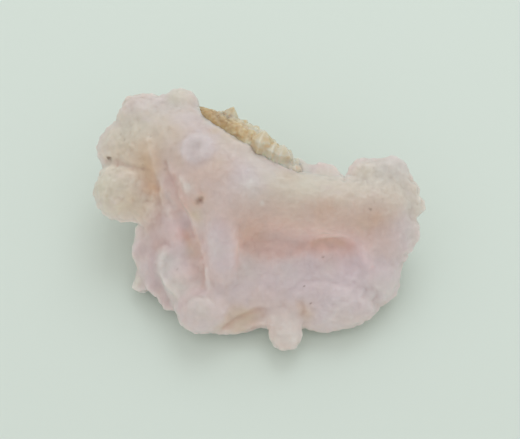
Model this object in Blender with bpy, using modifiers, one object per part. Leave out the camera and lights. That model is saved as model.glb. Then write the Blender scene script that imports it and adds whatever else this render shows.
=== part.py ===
"""A hand specimen of pink chalcedony with a crust of drusy quartz along its back, at its real size.

The chalcedony is one grown mass: bubbles, folds and strands that flowed into each other, here rounded
lobes and swept strands joined in one solid, hollowed between the folds and broken off flat underneath.
The quartz is a second piece, a lens of small pointed crystals that sits in a pocket behind the ridge.

X runs along the specimen, the display side faces -Y, and Z is up from the flat break that it rests on.
The tables below are in millimetres; everything in the scene is in metres.
"""

import math
import random

import bmesh
import bpy
from mathutils import Euler, Matrix, Vector
from mathutils.bvhtree import BVHTree

MM = 0.001

# Driving dimensions, in millimetres
REST_HEIGHT = 0.0  # the flat break that the stone rests on
FORM_VOXEL = 0.6  # grain at which the lobes and strands are run together
MASS_ROUNDING = 24  # smoothing passes over the big masses
FOLD_ROUNDING = 7  # smoothing passes once the folds are on them
STONE_SHARE = 0.145  # share of the fine faces kept in the stone
SEAT_GAP = 0.3  # clearance between the crust and its pocket

# Each lobe is an ellipsoid: centre, half-axes, and its turn about Z in degrees.
MASS_LOBES = {
    "foot": ((0.0, -1.0, 5.0), (20.5, 12.5, 8.0), 0.0),
    "crown": ((-15.6, 13.4, 15.2), (12.0, 9.6, 7.0), -22.0),
    "crown_root": ((-15.0, 9.0, 10.0), (10.0, 9.5, 9.0), 0.0),
    "brow": ((-9.6, 5.0, 15.6), (7.4, 7.6, 6.8), 0.0),
    "shoulder": ((-3.2, 2.4, 16.0), (8.0, 6.8, 6.6), 0.0),
    "wall": ((8.0, 1.8, 11.0), (19.0, 6.2, 9.0), 0.0),
    "ledge": ((7.4, -8.5, 3.6), (19.0, 9.2, 6.2), 0.0),
    "left_slope": ((-14.6, 0.5, 6.5), (7.5, 9.5, 6.5), 0.0),
    "left_front": ((-12.6, -8.6, 4.4), (6.2, 6.4, 4.8), 0.0),
    "left_side": ((-19.2, -3.8, 5.2), (3.9, 7.0, 5.0), 0.0),
    "right_end": ((22.2, -0.6, 8.0), (5.9, 8.6, 7.8), 0.0),
}

# Each strand is a rounded cord of stone along its points: x, y, z and the radius there.
MASS_STRANDS = {
    "ridge": [
        (-13.0, 13.4, 16.6, 5.4),
        (-8.0, 9.0, 17.2, 5.8),
        (-2.4, 4.6, 17.0, 5.9),
        (4.0, 1.2, 16.4, 5.8),
        (10.0, 0.4, 15.8, 5.6),
        (16.0, 0.6, 15.2, 5.4),
        (22.5, 1.6, 14.4, 5.0),
    ],
    "column_core": [
        (-6.6, 1.0, 16.6, 4.2),
        (-6.6, -3.6, 13.6, 3.8),
        (-6.8, -8.0, 9.0, 3.8),
        (-6.9, -12.4, 5.4, 3.6),
    ],
    "front_core": [
        (-9.0, -13.4, 4.6, 4.2),
        (-2.0, -12.6, 4.6, 4.4),
        (6.0, -11.4, 4.8, 4.4),
    ],
}

# The bubbles and folds that stand on the masses, in the same two forms.
FOLD_LOBES = {
    "crown_left": ((-22.3, 19.0, 17.7), (4.5, 4.2, 3.9), 0.0),
    "crown_middle": ((-18.7, 20.8, 17.5), (3.6, 3.1, 3.2), 0.0),
    "crown_right": ((-14.9, 21.2, 17.6), (3.4, 3.4, 3.9), 0.0),
    "knob": ((-11.2, 8.4, 20.0), (3.5, 3.5, 3.4), 0.0),
    "bubble_root": ((-21.5, 9.0, 12.0), (5.5, 7.0, 5.5), 0.0),
    "bubble_upper": ((-25.8, 14.6, 13.8), (4.9, 4.9, 4.8), 0.0),
    "bubble_lower": ((-25.2, 6.4, 11.8), (5.7, 5.6, 5.4), 0.0),
    "bubble_small": ((-20.6, 2.0, 11.6), (2.7, 2.7, 2.8), 0.0),
    "horn_left": ((20.0, 7.1, 15.7), (3.7, 3.5, 4.2), 0.0),
    "horn_right": ((24.0, 7.6, 15.7), (3.7, 3.3, 4.2), 0.0),
    "horn_shoulder": ((26.6, 5.0, 14.2), (3.0, 3.0, 3.2), 0.0),
    "edge_upper": ((28.4, 2.0, 12.6), (2.2, 2.4, 2.4), 0.0),
    "edge_middle": ((27.0, -2.2, 11.0), (2.6, 2.3, 2.5), 0.0),
    "edge_lower": ((25.2, -4.4, 9.4), (3.0, 2.7, 3.2), 0.0),
    "right_cheek": ((22.2, -8.4, 6.2), (3.6, 4.4, 4.8), 0.0),
    "back_lump_left": ((6.6, 7.8, 15.4), (3.2, 2.9, 3.1), 0.0),
    "back_lump_right": ((12.0, 6.8, 15.5), (3.0, 2.8, 3.1), 0.0),
    "bulb": ((-10.6, -15.4, 5.6), (5.2, 4.4, 4.6), 0.0),
    "bulb_cap": ((-9.8, -15.2, 7.8), (2.3, 2.3, 2.4), 0.0),
    "left_corner": ((-21.9, -7.4, 2.6), (2.3, 2.7, 2.5), 0.0),
    "pale_mass": ((-14.0, -8.8, 6.4), (4.2, 5.4, 3.8), 0.0),
    "shell": ((13.8, -13.6, 4.0), (8.2, 4.6, 4.4), 5.0),
    "shell_under": ((11.5, -15.0, 2.6), (5.0, 3.4, 2.4), 0.0),
}
FOLD_STRANDS = {
    "column": [
        (-6.4, -0.2, 17.8, 3.4),
        (-6.3, -4.0, 15.8, 3.3),
        (-6.4, -7.2, 12.6, 3.2),
        (-6.9, -10.0, 9.2, 3.1),
        (-7.4, -12.0, 7.0, 2.6),
    ],
    "left_fold": [
        (-17.6, 5.4, 14.8, 2.0),
        (-17.2, 1.4, 12.4, 2.2),
        (-16.2, -2.4, 10.2, 2.6),
        (-15.2, -6.0, 8.2, 2.6),
    ],
    "pale_rim": [
        (-16.8, -5.8, 8.2, 1.8),
        (-17.0, -9.6, 7.0, 1.9),
        (-14.4, -12.8, 6.2, 1.9),
    ],
    "thin_fold": [
        (-13.9, 4.4, 18.6, 1.2),
        (-12.6, 1.0, 17.0, 1.0),
        (-12.0, -3.2, 13.2, 0.9),
        (-10.2, -7.0, 10.6, 0.9),
        (-10.4, -11.0, 8.0, 0.9),
    ],
    "left_strand": [
        (-20.2, 12.0, 19.2, 1.7),
        (-17.8, 8.0, 17.8, 1.6),
        (-16.0, 4.4, 16.0, 1.4),
    ],
    "under_lip": [
        (-7.5, -16.8, 3.0, 2.2),
        (-2.5, -16.6, 2.8, 2.1),
        (1.5, -15.2, 3.0, 2.0),
    ],
    "finger": [
        (4.0, -13.6, 4.6, 3.0),
        (4.2, -16.8, 4.4, 3.0),
        (4.7, -19.6, 3.7, 2.9),
    ],
}

# What lies open between the folds, cut away from the masses.
HOLLOW_LOBES = {
    "undercut": ((12.8, -4.4, 11.6), (3.0, 1.7, 1.2), 0.0),
    "fold_hole": ((-10.9, 0.4, 19.0), (0.8, 1.2, 1.8), 0.0),
}
HOLLOW_STRANDS = {
    "bubble_groove": [
        (-20.6, 9.8, 20.0, 0.9),
        (-19.5, 6.4, 17.8, 1.3),
        (-19.0, 3.4, 15.4, 1.4),
        (-19.0, 0.4, 13.4, 1.2),
    ],
    "fold_groove": [
        (-15.0, 4.4, 18.6, 0.8),
        (-14.4, 0.6, 15.6, 1.1),
        (-13.6, -3.4, 12.8, 1.3),
        (-12.6, -6.4, 10.6, 1.2),
    ],
    "trough": [
        (-2.0, -4.9, 12.2, 0.7),
        (4.0, -5.4, 11.6, 0.9),
        (11.0, -5.0, 11.4, 0.9),
        (18.0, -4.6, 11.8, 0.7),
    ],
}

# The crust is a lens that leans against the back of the ridge, set with crystals on its open side.
CRUST_CENTRE = (-2.9, 13.0, 12.8)
CRUST_RADII = (15.6, 4.1, 8.8)
CRUST_TURN = -36.0
CRYSTAL_SEEDS = 170  # places spread over the whole lens; those with no room stay bare
CRYSTAL_VARIETY = 7
CRYSTAL_RADIUS = 1.5
CRYSTAL_SHOW = 0.7  # length of shaft that stands out of the crust
CRYSTAL_POINT = 1.3  # height of the six-sided point over its shaft
CRYSTAL_ROOT = 1.6  # length of shaft inside the crust
CRYSTAL_CLEARANCE = 0.45  # least distance from a crystal to the stone around the pocket

STONE_PINK = (0.80, 0.62, 0.60, 1.0)
QUARTZ_CREAM = (0.86, 0.76, 0.56, 1.0)


def clear_scene():
    for old in list(bpy.data.objects):
        bpy.data.objects.remove(old)


def collection(name):
    made = bpy.data.collections.new(name)
    bpy.context.scene.collection.children.link(made)
    return made


def material(name, colour, roughness):
    made = bpy.data.materials.new(name)
    made.use_nodes = True
    surface = made.node_tree.nodes["Principled BSDF"]
    surface.inputs["Base Color"].default_value = colour
    surface.inputs["Roughness"].default_value = roughness
    surface.inputs["Metallic"].default_value = 0.0
    return made


def mesh_object(name, bm, home):
    mesh = bpy.data.meshes.new(name)
    bm.to_mesh(mesh)
    bm.free()
    made = bpy.data.objects.new(name, mesh)
    home.objects.link(made)
    return made


def add_lobe(bm, centre, radii, turn, fineness=4):
    """An icosphere stretched to the lobe's half-axes, turned about Z and put in its place."""
    place = Matrix.LocRotScale(
        Vector(centre) * MM, Euler((0.0, 0.0, math.radians(turn))), Vector(radii) * MM
    )
    bmesh.ops.create_icosphere(bm, subdivisions=fineness, radius=1.0, matrix=place)


def add_strand(bm, points):
    """A bevelled curve through the points, each with its own radius, with a ball on each end."""
    curve = bpy.data.curves.new("strand", "CURVE")
    curve.dimensions = "3D"
    curve.bevel_depth = MM
    curve.bevel_resolution = 3
    curve.use_fill_caps = True
    spline = curve.splines.new("NURBS")
    spline.points.add(len(points) - 1)
    for target, (x, y, z, radius) in zip(spline.points, points):
        target.co = (x * MM, y * MM, z * MM, 1.0)
        target.radius = radius
    spline.use_endpoint_u = True
    spline.order_u = 3
    guide = bpy.data.objects.new("strand", curve)
    bpy.context.scene.collection.objects.link(guide)
    bpy.context.view_layer.update()
    graph = bpy.context.evaluated_depsgraph_get()
    tube = bpy.data.meshes.new_from_object(guide.evaluated_get(graph))
    bm.from_mesh(tube)
    bpy.data.objects.remove(guide)
    bpy.data.curves.remove(curve)
    bpy.data.meshes.remove(tube)
    for x, y, z, radius in (points[0], points[-1]):
        add_lobe(bm, (x, y, z), (radius, radius, radius), 0.0)


def evaluated_mesh(form):
    bpy.context.view_layer.update()
    graph = bpy.context.evaluated_depsgraph_get()
    return bpy.data.meshes.new_from_object(form.evaluated_get(graph))


def run_together(name, lobes, strands, home, core=None):
    """One closed mesh over all the lobes and strands: they overlap, and a voxel remesh keeps the outside."""
    bm = bmesh.new()
    for centre, radii, turn in lobes.values():
        add_lobe(bm, centre, radii, turn)
    for points in strands.values():
        add_strand(bm, points)
    if core is not None:
        bm.from_mesh(evaluated_mesh(core))
        core.hide_render = True
        core.display_type = "WIRE"
    form = mesh_object(name, bm, home)
    add_remesh(form)
    return form


def add_remesh(form):
    remesh = form.modifiers.new("run together", "REMESH")
    remesh.mode = "VOXEL"
    remesh.voxel_size = FORM_VOXEL * MM


def add_rounding(form, passes):
    rounding = form.modifiers.new("round the creases", "SMOOTH")
    rounding.factor = 0.5
    rounding.iterations = passes


def cut(form, cutter, name):
    boolean = form.modifiers.new(name, "BOOLEAN")
    boolean.operation = "DIFFERENCE"
    boolean.object = cutter
    cutter.hide_render = True
    cutter.display_type = "WIRE"


def crust_lens(name, clearance, home):
    """The crust's lens shape, grown by a clearance all round where it is the cutter of its own pocket."""
    bm = bmesh.new()
    add_lobe(bm, CRUST_CENTRE, [r + clearance for r in CRUST_RADII], CRUST_TURN, 3)
    return mesh_object(name, bm, home)


def crystal_seeds(count):
    """Evenly spread places on the lens with the outward direction there: a golden-angle spiral round Z."""
    turn = Euler((0.0, 0.0, math.radians(CRUST_TURN))).to_matrix()
    radii = Vector(CRUST_RADII)
    for i in range(count):
        height = 1.0 - 2.0 * (i + 0.5) / count
        angle = i * math.pi * (3.0 - math.sqrt(5.0))
        ring = math.sqrt(1.0 - height * height)
        on_ball = Vector((ring * math.cos(angle), height, ring * math.sin(angle)))
        place = turn @ Vector(a * r for a, r in zip(on_ball, radii))
        outward = turn @ Vector(a / r for a, r in zip(on_ball, radii))
        yield (place + Vector(CRUST_CENTRE)) * MM, outward.normalized()


def add_crystal(bm, place, outward, size, spin):
    """A six-sided shaft rooted in the crust with a six-sided point, as one closed solid."""
    radius = CRYSTAL_RADIUS * size * MM
    root, show, point = (h * size * MM for h in (CRYSTAL_ROOT, CRYSTAL_SHOW, CRYSTAL_POINT))
    shaft = (root + show) / 2
    aim = outward.to_track_quat("Z", "Y").to_matrix().to_4x4() @ Matrix.Rotation(spin, 4, "Z")
    made = bmesh.ops.create_cone(
        bm,
        cap_ends=True,
        cap_tris=False,
        segments=6,
        radius1=radius,
        radius2=radius,
        depth=2 * shaft,
        matrix=Matrix.Translation(place + outward * (show - shaft)) @ aim,
    )
    top = max(
        {face for vert in made["verts"] for face in vert.link_faces},
        key=lambda face: face.calc_center_median().dot(outward),
    )
    peak = bmesh.ops.poke(bm, faces=[top])["verts"][0]
    peak.co += outward * point


def drusy_quartz(parts, cutters, stone):
    """The lens joined with every crystal that has room beside the stone."""
    crust = crust_lens("quartz_crust", 0.0, parts)
    bpy.context.view_layer.update()
    around = BVHTree.FromObject(stone, bpy.context.evaluated_depsgraph_get())
    vary = random.Random(CRYSTAL_VARIETY)
    bm = bmesh.new()
    for place, outward in crystal_seeds(CRYSTAL_SEEDS):
        size = vary.uniform(0.75, 1.2)
        lean = Vector(vary.uniform(-0.3, 0.3) for _ in range(3))
        aim = (outward + lean).normalized()
        spin = vary.uniform(0.0, math.pi / 3)
        reach = (CRYSTAL_SHOW + CRYSTAL_POINT) * size * MM
        room = (CRYSTAL_RADIUS * size + CRYSTAL_CLEARANCE) * MM
        clear = all(
            around.find_nearest(place + aim * reach * along, room)[0] is None
            for along in (0.0, 0.4)
        )
        if clear and open_above(around, place, outward):
            add_crystal(bm, place, aim, size, spin)
    crystals = mesh_object("crystals", bm, cutters)
    join = crust.modifiers.new("crystals on the crust", "BOOLEAN")
    join.operation = "UNION"
    join.object = crystals
    join.use_self = True
    crystals.hide_render = True
    crystals.display_type = "WIRE"
    crust.data.materials.append(material("cream_quartz", QUARTZ_CREAM, 0.2))
    return crust


def open_above(around, place, outward):
    """Whether nothing of the stone lies over this place, along the outward direction."""
    return around.ray_cast(place, outward, 12.0 * MM)[0] is None


def block_below(height, home):
    """A box whose top lies at the height of the flat break."""
    side, depth = 90.0, 20.0
    bm = bmesh.new()
    place = Matrix.LocRotScale(
        Vector((0.0, 0.0, height - depth / 2)) * MM, None, Vector((side, side, depth)) * MM
    )
    bmesh.ops.create_cube(bm, size=1.0, matrix=place)
    return mesh_object("block_below", bm, home)


def chalcedony(parts, cutters):
    masses = run_together("masses", MASS_LOBES, MASS_STRANDS, cutters)
    hollows = run_together("hollows", HOLLOW_LOBES, HOLLOW_STRANDS, cutters)
    cut(masses, hollows, "open the folds")
    add_remesh(masses)
    add_rounding(masses, MASS_ROUNDING)
    stone = run_together("chalcedony", FOLD_LOBES, FOLD_STRANDS, parts, core=masses)
    add_rounding(stone, FOLD_ROUNDING)
    thinning = stone.modifiers.new("fewer faces", "DECIMATE")
    thinning.ratio = STONE_SHARE
    cut(stone, crust_lens("crust_pocket", SEAT_GAP, cutters), "pocket of the crust")
    cut(stone, block_below(REST_HEIGHT, cutters), "flat break")
    stone.data.materials.append(material("pink_chalcedony", STONE_PINK, 0.4))
    return stone


def centre_over_origin(forms, movers):
    """Moves everything together so that the box of the forms is centred in X and Y and stands on Z = 0."""
    bpy.context.view_layer.update()
    graph = bpy.context.evaluated_depsgraph_get()
    points = [Vector(corner) for form in forms for corner in form.evaluated_get(graph).bound_box]
    low = Vector(min(point[axis] for point in points) for axis in range(3))
    high = Vector(max(point[axis] for point in points) for axis in range(3))
    middle = (low + high) / 2
    for mover in movers:
        mover.location = (-middle.x, -middle.y, -low.z)


clear_scene()
PARTS = collection("chalcedony_specimen")
CUTTERS = collection("cutters")
STONE = chalcedony(PARTS, CUTTERS)
CRUST = drusy_quartz(PARTS, CUTTERS, STONE)
centre_over_origin([STONE, CRUST], [*PARTS.objects, *CUTTERS.objects])
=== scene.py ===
"""The looks of a pink chalcedony specimen with a crust of drusy quartz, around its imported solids.

Points and sizes are in millimetres in the formulas and become metres where a mesh is made.
"""

import math

import bmesh
import bpy
import numpy as np
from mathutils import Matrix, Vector
from mathutils.bvhtree import BVHTree
from mathutils.kdtree import KDTree


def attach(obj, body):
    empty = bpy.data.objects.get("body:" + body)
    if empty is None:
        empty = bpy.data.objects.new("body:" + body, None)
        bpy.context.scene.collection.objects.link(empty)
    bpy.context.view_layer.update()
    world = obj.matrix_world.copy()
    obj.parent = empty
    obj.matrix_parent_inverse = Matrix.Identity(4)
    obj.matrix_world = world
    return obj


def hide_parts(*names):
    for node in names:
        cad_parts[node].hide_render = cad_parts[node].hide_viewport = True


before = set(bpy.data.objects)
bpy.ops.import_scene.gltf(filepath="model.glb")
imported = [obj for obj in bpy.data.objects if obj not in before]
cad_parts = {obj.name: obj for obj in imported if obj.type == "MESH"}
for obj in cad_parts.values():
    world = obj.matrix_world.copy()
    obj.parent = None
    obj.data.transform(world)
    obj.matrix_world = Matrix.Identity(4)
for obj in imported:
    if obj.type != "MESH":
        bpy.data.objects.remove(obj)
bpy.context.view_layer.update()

# The chalcedony's form. It grew as a silica gel that crept, folded and swelled into bubbles before it
# hardened, so one unbroken skin runs over all of it. Here that skin is the solid's own surface as a fine
# even net, on which the small folds, creases and grains are raised or sunk.
MM = 0.001
NET_STEP = 0.3
EASE_PASSES = 14


def net_over(rough, step):
    """A mesh's surface as an even net of four-sided faces: its points, and each face's four corners."""
    merged = bmesh.new()
    merged.from_mesh(rough)
    bmesh.ops.remove_doubles(merged, verts=merged.verts, dist=1e-6)
    mesh = bpy.data.meshes.new("solid")
    merged.to_mesh(mesh)
    merged.free()
    solid = bpy.data.objects.new("solid", mesh)
    bpy.context.scene.collection.objects.link(solid)
    remesh = solid.modifiers.new("net", "REMESH")
    remesh.mode = "VOXEL"
    remesh.voxel_size = step * MM
    graph = bpy.context.evaluated_depsgraph_get()
    net = bpy.data.meshes.new_from_object(solid.evaluated_get(graph))
    points = np.empty(3 * len(net.vertices))
    net.vertices.foreach_get("co", points)
    corners = np.empty(len(net.loops), np.int64)
    net.loops.foreach_get("vertex_index", corners)
    for spent in (mesh, net):
        bpy.data.meshes.remove(spent)
    return points.reshape(-1, 3) / MM, corners.reshape(-1, 4)


def summed(index, values, count):
    """For each of the points, the sum of the rows of values that belong to it."""
    return np.stack([np.bincount(index, column, count) for column in values.T], 1)


def eased(values, faces, passes, share=0.5):
    """Every pass moves each point's value by a share of the way to the mean of its neighbours."""
    here, there = faces.ravel(), np.roll(faces, -1, axis=1).ravel()
    neighbours = np.bincount(here, minlength=len(values))[:, None]
    for _ in range(passes):
        mean = summed(here, values[there], len(values)) / neighbours
        values = values + share * (mean - values)
    return values


def outward(points, faces):
    """Unit normals: the cross products of each face's two diagonals, summed at its corners."""
    a, b, c, d = (points[faces[:, k]] for k in range(4))
    across = np.repeat(np.cross(c - a, d - b), 4, axis=0)
    normals = summed(faces.ravel(), across, len(points))
    return normals / np.linalg.norm(normals, axis=1, keepdims=True)


# Places on the stone are given as its display side shows them, looked at from 58 degrees above the
# ground: millimetres to the right of the middle of the view and above it, for the point that the line
# of sight through that place meets.
LOOK_DOWN = math.radians(58.0)
SIGHT_LENGTH = 270.0
AIM = np.array((0.2, -1.066, 12.0))
TO_EYE = np.array((0.0, -math.cos(LOOK_DOWN), math.sin(LOOK_DOWN)))
VIEW_RIGHT = np.array((1.0, 0.0, 0.0))
VIEW_UP = np.array((0.0, math.sin(LOOK_DOWN), math.cos(LOOK_DOWN)))
EYE = AIM + SIGHT_LENGTH * TO_EYE
# Distances from the eye that span the whole specimen.
SIGHT_STEPS = range(240, 300, 2)


def met(tree, place):
    """The surface's point on the line of sight through the place, or past the outline the point that
    lies nearest to that line."""
    way = AIM + place[0] * VIEW_RIGHT + place[1] * VIEW_UP - EYE
    way /= np.linalg.norm(way)
    point = tree.ray_cast(EYE, way)[0]
    if point is None:
        beside = [tree.find_nearest(EYE + reach * way) for reach in SIGHT_STEPS]
        point = min(beside, key=lambda found: found[3])[0]
    return np.array(point)


def from_path(points, path):
    """Each point's distance to a path of straight steps: the least of its distances to the steps."""
    best = np.full(len(points), 1e9)
    for start, step in zip(path[:-1], np.diff(path, axis=0)):
        along = np.clip((points - start) @ step / (step @ step), 0, 1)
        best = np.minimum(best, np.linalg.norm(points - start - along[:, None] * step, axis=1))
    return best


def bell(distance, width):
    """A bell over the distance: 1 at none, 0.37 at the width, fading to 0."""
    return np.exp(-((distance / width) ** 2))


def dabs(points, tree, table):
    """How much soft round dabs cover a point: one less the product of what each leaves uncovered."""
    bare = np.ones(len(points))
    for place, radius, strength in table:
        bare *= 1 - strength * bell(np.linalg.norm(points - met(tree, place), axis=1), radius)
    return 1 - bare


def streaks(points, tree, table):
    """How much soft bands along paths cover a point, joined as the dabs are."""
    bare = np.ones(len(points))
    for strength, width, places in table:
        path = [met(tree, place) for place in places]
        bare *= 1 - strength * bell(from_path(points, path), width)
    return 1 - bare


def scatter(cell, seed):
    """A fixed value from 0 to 1 for each whole-number cell, from mixing the bits of its three numbers."""
    x, y, z = (cell[..., k].astype(np.int64).astype(np.uint32) for k in range(3))
    bits = x * np.uint32(73856093) ^ y * np.uint32(19349663) ^ z * np.uint32(83492791)
    bits = (bits + np.uint32(seed * 7919 + 1)) * np.uint32(2654435761)
    bits = (bits ^ (bits >> np.uint32(15))) * np.uint32(2246822519)
    return ((bits ^ (bits >> np.uint32(13))) & np.uint32(0xFFFFFF)) / float(0xFFFFFF)


def mottle(points, size, seed):
    """Smooth noise from -1 to 1: cell corners' values, blended by an eased share along each axis."""
    place = points / size
    cell = np.floor(place)
    t = place - cell
    t = t * t * (3 - 2 * t)
    value = np.zeros(len(points))
    for i in (0, 1):
        for j in (0, 1):
            for k in (0, 1):
                share = np.abs(1 - np.array([i, j, k]) - t).prod(1)
                value += share * scatter(cell + (i, j, k), seed)
    return 2 * value - 1


def beads(points, size, seed):
    """Packed round grains, 1 at each one's middle and 0 between: one less the squared distance to the
    nearest of the scattered middles, one of which lies in each cell."""
    place = points / size
    cell = np.floor(place)
    nearest = np.full(len(points), 9.0)
    for i in (-1, 0, 1):
        for j in (-1, 0, 1):
            for k in (-1, 0, 1):
                near = cell + (i, j, k)
                middle = near + np.stack([scatter(near, seed + n) for n in range(3)], 1)
                nearest = np.minimum(nearest, ((place - middle) ** 2).sum(1))
    return 1 - np.minimum(nearest, 1)


def swayed(points, reach, size, seed):
    """The points moved by smooth noise, by up to the reach along each axis."""
    return points + reach * np.stack([mottle(points, size, seed + k) for k in range(3)], 1)


skin, skin_faces = net_over(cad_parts["chalcedony"].data, NET_STEP)
skin = eased(skin, skin_faces, EASE_PASSES)
bare_skin = BVHTree.FromPolygons(skin.tolist(), skin_faces.tolist())

# Where neighbouring folds have melted into one another: place, radius and strength.
MELTED = [
    ((18.9, 7.2), 2.5, 0.8),
    ((21.3, 7.2), 2.5, 0.9),
    ((23.7, 7.0), 2.5, 0.9),
    ((26.3, 5.9), 2.5, 0.8),
    ((-20.2, 11.1), 2.5, 0.8),
    ((-21.9, 3.7), 3.0, 0.8),
    ((-23.0, 1.9), 3.0, 0.7),
    ((-1.9, -1.1), 3.5, 0.8),
    ((2.8, -1.3), 3.5, 0.8),
    ((7.4, -1.5), 3.5, 0.8),
    ((12.0, -1.7), 3.5, 0.8),
    ((16.7, -1.5), 3.5, 0.8),
    ((13.1, -4.3), 4.0, 0.9),
    ((9.6, -5.0), 3.0, 0.6),
    ((26.9, 3.7), 4.0, 0.9),
    ((26.9, -0.9), 4.0, 0.9),
    ((25.2, 7.4), 3.5, 0.8),
    ((28.1, 0.9), 3.0, 0.6),
    ((-13.7, 5.9), 3.0, 0.8),
    ((-14.6, 8.1), 2.0, 0.8),
    ((-20.0, 8.3), 2.5, 0.8),
    ((-19.1, 3.3), 3.0, 0.9),
    ((-18.0, 9.3), 2.0, 0.5),
    ((-2.2, -18.0), 2.5, 0.5),
    ((-7.0, -11.9), 3.0, 0.8),
    ((-4.1, -10.2), 3.0, 0.5),
    ((-25.9, 20.4), 2.0, 0.4),
    ((8.3, 10.0), 2.5, 0.9),
    ((-13.0, 1.1), 2.6, 0.95),
    ((-13.3, 3.7), 2.2, 0.9),
    ((-11.9, -1.9), 2.4, 0.9),
    ((-10.9, -4.8), 2.4, 0.9),
    ((-10.4, -7.4), 2.0, 0.8),
    ((-13.7, 5.6), 2.0, 0.8),
    ((-9.1, -2.8), 2.5, 0.8),
    ((-9.1, -6.5), 2.5, 0.8),
    ((-3.9, -3.7), 2.5, 0.7),
    ((-3.7, -7.0), 2.5, 0.7),
]
MELT_PASSES = 90
melted = eased(skin, skin_faces, MELT_PASSES) - skin
skin = skin + dabs(skin, bare_skin, MELTED)[:, None] * melted
bare_skin = BVHTree.FromPolygons(skin.tolist(), skin_faces.tolist())
skin_out = outward(skin, skin_faces)

# Where the skin is granular: place, radius and strength of each dab. The bubbles at the left end, the
# lobes at the right end, the crown's right lobe and the shell in front are the most granular. The rest
# of the crown's rim, the ridge's right half, the finger and the lower left are less so.
GRAINED = [
    ((-26.3, 14.3), 6.0, 1.0),
    ((-26.9, 5.6), 6.5, 1.0),
    ((-20.4, 1.7), 3.0, 1.0),
    ((-24.1, 21.7), 4.0, 0.5),
    ((-20.4, 21.9), 3.0, 0.4),
    ((-15.2, 22.2), 3.5, 0.8),
    ((29.3, 3.3), 4.0, 1.0),
    ((28.5, -2.8), 3.5, 0.8),
    ((25.6, 8.9), 3.5, 0.6),
    ((19.4, 8.9), 3.5, 0.6),
    ((23.1, 5.2), 4.0, 0.5),
    ((18.5, 5.6), 4.0, 0.4),
    ((13.9, 8.9), 3.0, 0.4),
    ((13.9, -16.3), 6.0, 0.8),
    ((19.4, -14.8), 4.0, 0.6),
    ((4.6, -21.3), 3.0, 0.6),
    ((25.0, -13.0), 4.0, 0.4),
    ((-15.2, -9.6), 4.0, 0.4),
    ((-10.2, -18.1), 4.0, 0.25),
]

# The long forms that stand up from the skin or lie sunk in it: height or depth, half-width and places.
FOLDS = [
    (0.6, 1.2, [(-8.5, 17.8), (-6.7, 16.1), (-4.4, 14.4), (-2.4, 13.1)]),
    (0.3, 0.6, [(-14.6, 7.8), (-13.9, 6.9), (-13.1, 5.2)]),
    (0.25, 0.5, [(-9.8, -9.3), (-9.6, -11.1), (-9.4, -13.1)]),
    (
        0.45,
        0.8,
        [
            (-20.4, 14.8), (-19.6, 12.0), (-18.9, 9.6), (-18.5, 8.0), (-17.8, 5.9), (-18.0, 4.1),
            (-17.2, 2.0),
        ],
    ),
    (0.45, 1.3, [(-16.5, 1.3), (-15.7, -1.1), (-15.9, -4.1)]),
    (0.5, 0.8, [(-17.6, -5.6), (-18.3, -7.4), (-18.1, -10.0), (-17.0, -12.4), (-15.2, -14.1)]),
    (0.35, 2.6, [(-7.0, 0.0), (-6.9, -3.7), (-6.7, -6.7), (-6.9, -9.3)]),
    (0.3, 0.8, [(-5.9, -20.6), (-3.7, -20.2), (-1.5, -19.4), (0.7, -18.9)]),
    (0.5, 1.2, [(-20.4, 12.6), (-20.0, 10.2), (-19.6, 7.8), (-19.3, 5.2)]),
    (1.1, 1.9, [(-22.2, -1.9), (-22.6, -4.3), (-22.6, -6.3)]),
    (0.6, 0.8, [(-23.5, -12.0), (-23.0, -12.6), (-21.5, -12.6)]),
    (1.3, 1.2, [(-20.2, -12.2), (-18.9, -13.1), (-17.6, -14.4), (-16.5, -15.7)]),
]
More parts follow.
